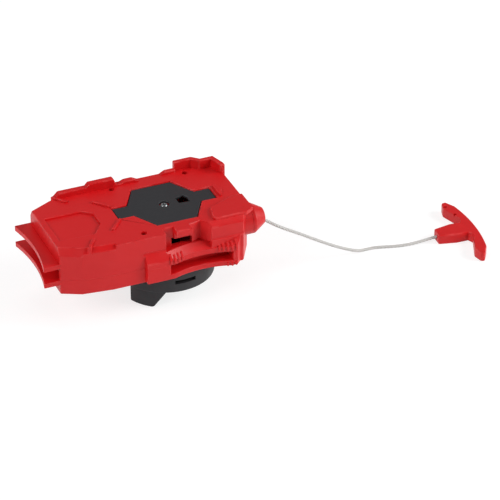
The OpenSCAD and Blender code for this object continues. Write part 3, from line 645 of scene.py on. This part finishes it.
class LAUNCHER_OT_inner_string(bpy.types.Operator):
    """Winds the string on the reel, leads it to the nozzle and knots it in the handle"""

    bl_idname = "launcher.inner_string"
    bl_label = "Inner String"

    def execute(self, context):
        thick = sizes().string_thick
        low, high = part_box("string_winding")
        turns = math.floor((high.z - low.z - thick) / (thick * TURN_ROOM))
        route = coil_route((low + high) / 2, Vector((0, 0, 1)), (high.x - low.x - thick) / 2, turns,
                           thick * TURN_ROOM)
        stand_for(string_along("wound_string", route), "string_winding")
        low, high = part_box("inner_string")
        middle = (low + high) / 2
        route = [Vector((x, middle.y, middle.z)) for x in (low.x, high.x)]
        stand_for(string_along("led_string", route), "inner_string")
        low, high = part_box("string_knot")
        thin = thick * KNOT_SHARE
        turns = (high.x - low.x - thin) / (thin * TURN_ROOM)
        neck = Vector(LAY_ROUTE[-1]) - Vector(LAY_ROUTE[-2])
        route = coil_route((low + high) / 2, neck, (high.z - low.z - thin) / 2, turns, thin * TURN_ROOM)
        stand_for(string_along("stopper_knot", route, KNOT_SHARE), "string_knot")
        return {"FINISHED"}


def solids_of(node):
    """The lowest and highest corners of each separate solid in a CAD node."""
    bm = bmesh.new()
    bm.from_mesh(frame["nodes"][node].data)
    bmesh.ops.remove_doubles(bm, verts=bm.verts, dist=MERGE)
    left, boxes = set(bm.verts), []
    while left:
        island = [left.pop()]
        for vert in island:
            beside = {e.other_vert(vert) for e in vert.link_edges} & left
            left -= beside
            island += beside
        boxes.append([[pick(v.co[axis] for v in island) for axis in range(3)] for pick in (min, max)])
    bm.free()
    return sorted(boxes)


# Height of the head and radius of the shank in millimetres, and whether the head looks down
SCREWS = {
    "case_screws": (1.9, 1.4, True),
    "shaft_screw": (1.3, 1.0, False),
    "spinner_screw": (1.9, 1.4, True),
}
HEAD_SIDES = 48
HEAD_RINGS = 8
SHANK_SIDES = 32
# Share of its radius squared that the crowned head loses at the top
CROWN_FALL = 0.55
# Length of a slot over the head's radius
SLOT_REACH = 1.2
SCREW_SMOOTH = math.radians(35)


def screw_tree():
    """Geometry nodes that put a screw with a crowned, cross-slotted head at each point."""
    tree, given = new_tree("Cross-slotted screw", {
        "Head radius": "NodeSocketFloat", "Head height": "NodeSocketFloat",
        "Shank radius": "NodeSocketFloat", "Length": "NodeSocketFloat", "Slot": "NodeSocketFloat",
        "Turn": "NodeSocketVector", "Material": "NodeSocketMaterial"})
    blank = add_node(tree, "GeometryNodeMeshCylinder", None, {
        "Vertices": HEAD_SIDES, "Side Segments": HEAD_RINGS, "Radius": given["Head radius"],
        "Depth": given["Head height"]})
    here = add_node(tree, "GeometryNodeInputPosition").outputs[0]
    height = add_node(tree, "ShaderNodeSeparateXYZ", None, {0: here}).outputs["Z"]
    level = add_node(tree, "ShaderNodeMath", {"operation": "DIVIDE"}, {
        0: height, 1: given["Head height"]})
    raised = add_node(tree, "ShaderNodeMath", {"operation": "ADD"}, {0: level.outputs[0], 1: 0.5})
    square = add_node(tree, "ShaderNodeMath", {"operation": "POWER"}, {0: raised.outputs[0], 1: 2.0})
    fall = add_node(tree, "ShaderNodeMath", {"operation": "MULTIPLY_ADD"}, {
        0: square.outputs[0], 1: -CROWN_FALL, 2: 1.0})
    share = add_node(tree, "ShaderNodeMath", {"operation": "SQRT"}, {0: fall.outputs[0]}).outputs[0]
    drawn = add_node(tree, "ShaderNodeCombineXYZ", None, {"X": share, "Y": share, "Z": 1.0})
    crowned = add_node(tree, "ShaderNodeVectorMath", {"operation": "MULTIPLY"}, {
        0: here, 1: drawn.outputs[0]})
    half = add_node(tree, "ShaderNodeMath", {"operation": "MULTIPLY"}, {
        0: given["Head height"], 1: -0.5})
    down = add_node(tree, "ShaderNodeCombineXYZ", None, {"Z": half.outputs[0]})
    head = add_node(tree, "GeometryNodeSetPosition", None, {
        "Geometry": blank.outputs[0], "Position": crowned.outputs[0], "Offset": down.outputs[0]})
    depth = add_node(tree, "ShaderNodeMath", {"operation": "ADD"}, {
        0: given["Length"], 1: half.outputs[0]})
    rod = add_node(tree, "GeometryNodeMeshCylinder", None, {
        "Vertices": SHANK_SIDES, "Radius": given["Shank radius"], "Depth": depth.outputs[0]})
    sunk = add_node(tree, "ShaderNodeMath", {"operation": "MULTIPLY_ADD"}, {
        0: depth.outputs[0], 1: -0.5, 2: half.outputs[0]})
    place = add_node(tree, "ShaderNodeCombineXYZ", None, {"Z": sunk.outputs[0]})
    shank = add_node(tree, "GeometryNodeTransform", None, {
        "Geometry": rod.outputs[0], "Translation": place.outputs[0]})
    whole = add_node(tree, "GeometryNodeMeshBoolean", {"operation": "UNION", "solver": "EXACT"}, {
        "Mesh 2": head.outputs[0]})
    tree.links.new(shank.outputs[0], whole.inputs["Mesh 2"])
    slotted = add_node(tree, "GeometryNodeMeshBoolean", {"operation": "DIFFERENCE", "solver": "EXACT"}, {
        "Mesh 1": whole.outputs[0]})
    reach = add_node(tree, "ShaderNodeMath", {"operation": "MULTIPLY"}, {
        0: given["Head radius"], 1: SLOT_REACH})
    for one, other in (("X", "Y"), ("Y", "X")):
        bar = add_node(tree, "ShaderNodeCombineXYZ", None, {
            one: reach.outputs[0], other: given["Slot"], "Z": given["Head height"]})
        cut = add_node(tree, "GeometryNodeMeshCube", None, {"Size": bar.outputs[0]})
        tree.links.new(cut.outputs[0], slotted.inputs["Mesh 2"])
    row = add_node(tree, "GeometryNodeInstanceOnPoints", None, {
        "Points": given["Geometry"], "Instance": slotted.outputs[0], "Rotation": given["Turn"]})
    real = add_node(tree, "GeometryNodeRealizeInstances", None, {"Geometry": row.outputs[0]})
    done = add_node(tree, "GeometryNodeSetMaterial", None, {
        "Geometry": real.outputs[0], "Material": given["Material"]})
    add_node(tree, "NodeGroupOutput", None, {0: done.outputs[0]})
    return tree


class LAUNCHER_OT_screws(bpy.types.Operator):
    """Puts the plated screws where the frame has them"""

    bl_idname = "launcher.screws"
    bl_label = "Screws"

    def execute(self, context):
        tree = screw_tree()
        for node, (head_height, shank_radius, looks_down) in SCREWS.items():
            boxes = solids_of(node)
            tops = [((low[0] + high[0]) / 2, (low[1] + high[1]) / 2, low[2] if looks_down else high[2])
                    for low, high in boxes]
            low, high = boxes[0]
            mesh = bpy.data.meshes.new(node + "_plated")
            mesh.from_pydata(tops, [], [])
            piece = new_piece(node + "_plated", mesh)
            mesh = grow(piece, tree, {
                "Head radius": (high[0] - low[0]) / 2, "Head height": head_height * MM,
                "Shank radius": shank_radius * MM, "Length": high[2] - low[2],
                "Slot": sizes().screw_slot, "Turn": (math.pi if looks_down else 0.0, 0.0, 0.0),
                "Material": finish_of("steel")})
            mesh.shade_smooth()
            mesh.set_sharp_from_angle(angle=SCREW_SMOOTH)
            stand_for(piece, node)
        return {"FINISHED"}


class LAUNCHER_OT_shells(bpy.types.Operator):
    """Rounds the red shells and the nozzle as their moulds leave them"""

    bl_idname = "launcher.shells"
    bl_label = "Shells"

    def execute(self, context):
        for node in ("upper_case", "lower_case", "outlet_nozzle"):
            stand_for(rounded_copy(node, node + "_moulded", sizes().shell_round), node)
        return {"FINISHED"}


class LAUNCHER_OT_grey_pieces(bpy.types.Operator):
    """Rounds the grey cover, the spinner disc and the claws"""

    bl_idname = "launcher.grey_pieces"
    bl_label = "Grey Pieces"

    def execute(self, context):
        for node in ("top_cover", "spinner_disc", "claw_carrier"):
            stand_for(rounded_copy(node, node + "_moulded", sizes().grey_round), node)
        return {"FINISHED"}


class LAUNCHER_OT_handle(bpy.types.Operator):
    """Rounds the pull handle and the plug in its neck"""

    bl_idname = "launcher.handle"
    bl_label = "Handle"

    def execute(self, context):
        for node in ("pull_handle", "handle_plug"):
            stand_for(rounded_copy(node, node + "_moulded", sizes().handle_round), node)
        return {"FINISHED"}


class LAUNCHER_OT_finish_frame(bpy.types.Operator):
    """Gives every carried-over piece its finish"""

    bl_idname = "launcher.finish_frame"
    bl_label = "Inner Pieces"

    def execute(self, context):
        for node, piece in frame["nodes"].items():
            piece.data.materials.clear()
            piece.data.materials.append(finish_of(SLOT_OF[node]))
        return {"FINISHED"}


# Camera: where the photograph shows the middle of the cover, and how it was seen
PHOTO_WIDTH_PX = 500
COVER_PX = (164.07, 204.60)
FOCAL_PX = 3023
COVER_PX_SIZE = 0.44 * MM
AZIMUTH = math.radians(23.19)
ELEVATION = math.radians(32.25)
SENSOR = 36.0


def photo_camera():
    """The camera that took the photograph."""
    across = Vector((math.cos(AZIMUTH), -math.sin(AZIMUTH), 0))
    level = Vector((math.sin(AZIMUTH), math.cos(AZIMUTH), 0))
    ahead = level * math.cos(ELEVATION) - Vector((0, 0, math.sin(ELEVATION)))
    up = level * math.sin(ELEVATION) + Vector((0, 0, math.cos(ELEVATION)))
    middle = PHOTO_WIDTH_PX / 2
    offset = across * (middle - COVER_PX[0]) + up * (COVER_PX[1] - middle) - ahead * FOCAL_PX
    cover_low, cover_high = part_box("top_cover")
    cover = (cover_low + cover_high) / 2
    camera = bpy.data.objects.new("photo_camera", bpy.data.cameras.new("photo_camera"))
    camera.data.sensor_width = SENSOR
    camera.data.lens = SENSOR * FOCAL_PX / PHOTO_WIDTH_PX
    turn = Matrix((across, up, -ahead)).transposed().to_4x4()
    camera.matrix_world = Matrix.Translation(cover + offset * COVER_PX_SIZE) @ turn
    bpy.context.scene.collection.objects.link(camera)
    bpy.context.scene.camera = camera


def seen_directly(tree):
    """1 for what the camera sees, also in a mirror or through glass, and 0 for light on the object."""
    path = add_node(tree, "ShaderNodeLightPath").outputs
    either = add_node(tree, "ShaderNodeMath", {"operation": "MAXIMUM"}, {
        0: path["Is Camera Ray"], 1: path["Is Glossy Ray"]})
    return add_node(tree, "ShaderNodeMath", {"operation": "MAXIMUM"}, {
        0: either.outputs[0], 1: path["Is Transmission Ray"]}).outputs[0]


# Greys of the paper as it lights the object and as it is seen, and the glow that lifts it to white
PAPER_LIT = 0.9
PAPER_SEEN = 0.32
PAPER_GLOW = 0.77


def white_floor():
    """Matt white paper: it lights the object from below, and shows white with a soft shadow."""
    material = bpy.data.materials.new("White paper, matt")
    material.use_nodes = True
    tree = material.node_tree
    tree.nodes.clear()
    paper = add_node(tree, "ShaderNodeBsdfDiffuse", None, {"Color": rgba([PAPER_LIT] * 3)})
    shaded = add_node(tree, "ShaderNodeBsdfDiffuse", None, {"Color": rgba([PAPER_SEEN] * 3)})
    glow = add_node(tree, "ShaderNodeEmission", None, {"Strength": PAPER_GLOW})
    shown = add_node(tree, "ShaderNodeAddShader", None, {0: shaded.outputs[0], 1: glow.outputs[0]})
    either = add_node(tree, "ShaderNodeMixShader", None, {
        0: seen_directly(tree), 1: paper.outputs[0], 2: shown.outputs[0]})
    clear = add_node(tree, "ShaderNodeBsdfTransparent")
    under = add_node(tree, "ShaderNodeNewGeometry").outputs["Backfacing"]
    sided = add_node(tree, "ShaderNodeMixShader", None, {
        0: under, 1: either.outputs[0], 2: clear.outputs[0]})
    add_node(tree, "ShaderNodeOutputMaterial", None, {"Surface": sided.outputs[0]})
    return material


WHITE = (1, 1, 1, 1)
# The room is dimmer where the camera stands, so slopes that look its way keep their full colour
DIM_WAY = (0.33, -0.45, 0.83)
# How squarely a direction has to look that way for the dimming to start, and to be full
DIM_FROM, DIM_FULL = 0.3, 0.9
ROOM_LIGHT, ROOM_DIM = 0.28, 0.05


def soft_room():
    """A white room that lights the object softly and shows plain white."""
    world = bpy.data.worlds.new("Soft white room")
    world.use_nodes = True
    tree = world.node_tree
    tree.nodes.clear()
    way = add_node(tree, "ShaderNodeTexCoord").outputs["Generated"]
    towards = add_node(tree, "ShaderNodeVectorMath", {"operation": "DOT_PRODUCT"}, {
        0: way, 1: DIM_WAY}).outputs["Value"]
    dimmed = add_node(tree, "ShaderNodeMapRange", None, {
        "Value": towards, "From Min": DIM_FROM, "From Max": DIM_FULL,
        "To Min": ROOM_LIGHT, "To Max": ROOM_DIM})
    lit = add_node(tree, "ShaderNodeBackground", None, {"Color": WHITE, "Strength": dimmed.outputs[0]})
    seen = add_node(tree, "ShaderNodeBackground", None, {"Color": WHITE, "Strength": 1.0})
    camera_ray = add_node(tree, "ShaderNodeLightPath").outputs["Is Camera Ray"]
    room = add_node(tree, "ShaderNodeMixShader", None, {
        0: camera_ray, 1: lit.outputs[0], 2: seen.outputs[0]})
    add_node(tree, "ShaderNodeOutputWorld", None, {"Surface": room.outputs[0]})
    return world


# Place of each soft lamp in metres, and its power in watts
LAMPS = {
    "left": ((-1.0, -0.3, 0.75), 8.5),
    "right": ((1.05, -0.5, 0.6), 15.0),
    "overhead": ((0.0, 0.4, 1.25), 2.5),
}
LAMP_SIZE = 0.7
LAMP_AIM = Vector((0.03, 0, 0.02))


def soft_lamp(name, place, power):
    """A square lamp that looks at the object."""
    lamp = bpy.data.lights.new(name, "AREA")
    lamp.size = LAMP_SIZE
    lamp.energy = power
    light = bpy.data.objects.new(name, lamp)
    turn = (LAMP_AIM - Vector(place)).to_track_quat("-Z", "Y").to_matrix().to_4x4()
    light.matrix_world = Matrix.Translation(place) @ turn
    bpy.context.scene.collection.objects.link(light)


FLOOR_HALF = 4.0
FLOOR_Z = -0.02 * MM


class LAUNCHER_OT_stage(bpy.types.Operator):
    """Sets the camera, the lights and the white floor"""

    bl_idname = "launcher.stage"
    bl_label = "Stage"

    def execute(self, context):
        context.scene.view_settings.view_transform = "Standard"
        photo_camera()
        mesh = bpy.data.meshes.new("floor")
        ways = ((-1, -1), (1, -1), (1, 1), (-1, 1))
        mesh.from_pydata([(x * FLOOR_HALF, y * FLOOR_HALF, FLOOR_Z) for x, y in ways], [], [(0, 1, 2, 3)])
        mesh.materials.append(white_floor())
        new_piece("floor", mesh)
        context.scene.world = soft_room()
        for name, (place, power) in LAMPS.items():
            soft_lamp(name, place, power)
        return {"FINISHED"}


STEPS = (
    LAUNCHER_OT_stage,
    LAUNCHER_OT_pull_string,
    LAUNCHER_OT_inner_string,
    LAUNCHER_OT_finish_frame,
    LAUNCHER_OT_screws,
    LAUNCHER_OT_shells,
    LAUNCHER_OT_grey_pieces,
    LAUNCHER_OT_handle,
)


class LAUNCHER_PT_looks(bpy.types.Panel):
    """Lists the launcher's pieces, sizes and colours"""

    bl_idname = "LAUNCHER_PT_looks"
    bl_label = "String Launcher"
    bl_space_type = "VIEW_3D"
    bl_region_type = "UI"
    bl_category = "Launcher"

    def draw(self, context):
        for step in STEPS:
            self.layout.operator(step.bl_idname)
        for group in (context.scene.launcher_sizes, context.scene.launcher_colours):
            for name in group.__annotations__:
                self.layout.prop(group, name)


CLASSES = (LauncherSizes, LauncherColours, *STEPS, LAUNCHER_PT_looks)


def register():
    """Makes the classes and their settings known."""
    for cls in CLASSES:
        bpy.utils.register_class(cls)
    bpy.types.Scene.launcher_sizes = bpy.props.PointerProperty(type=LauncherSizes)
    bpy.types.Scene.launcher_colours = bpy.props.PointerProperty(type=LauncherColours)


def unregister():
    """Takes the settings and classes away again."""
    del bpy.types.Scene.launcher_colours
    del bpy.types.Scene.launcher_sizes
    for cls in reversed(CLASSES):
        bpy.utils.unregister_class(cls)


def main():
    """Makes the looks step by step."""
    register()
    for step in STEPS:
        group, name = step.bl_idname.split(".")
        getattr(getattr(bpy.ops, group), name)()


if __name__ == "__main__":
    main()
